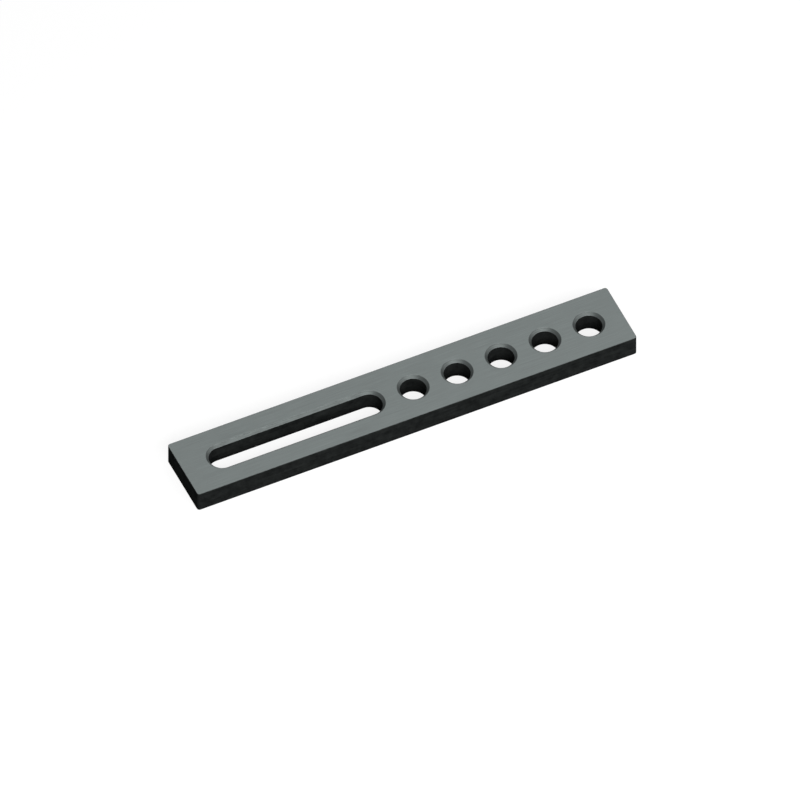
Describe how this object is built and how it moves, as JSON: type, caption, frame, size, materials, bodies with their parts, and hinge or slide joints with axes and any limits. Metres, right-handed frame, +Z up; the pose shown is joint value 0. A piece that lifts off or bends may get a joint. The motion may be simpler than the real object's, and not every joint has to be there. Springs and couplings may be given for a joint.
{
  "type": "welding positioning bar",
  "caption": "Flat steel positioning and clamping bar for a welding table, with a long round-ended slot and a row of chamfered system bores.",
  "frame": {"origin": "middle of the underside, on the middle line of the bores and the slot", "axes": "+X along the bar towards the end with the bores, +Y across the bar, +Z up through the thickness"},
  "size_m": [0.5, 0.075, 0.025],
  "materials": {
    "burnished_steel": "burnished steel: flat faces ground to a dull mid grey with a faint green cast, turned chamfers darker and smoother, sides, ends and hole walls near black, edges rubbed slightly brighter"
  },
  "bodies": {
    "root": {"positioning_bar": "burnished_steel"}
  },
  "joints": []
}
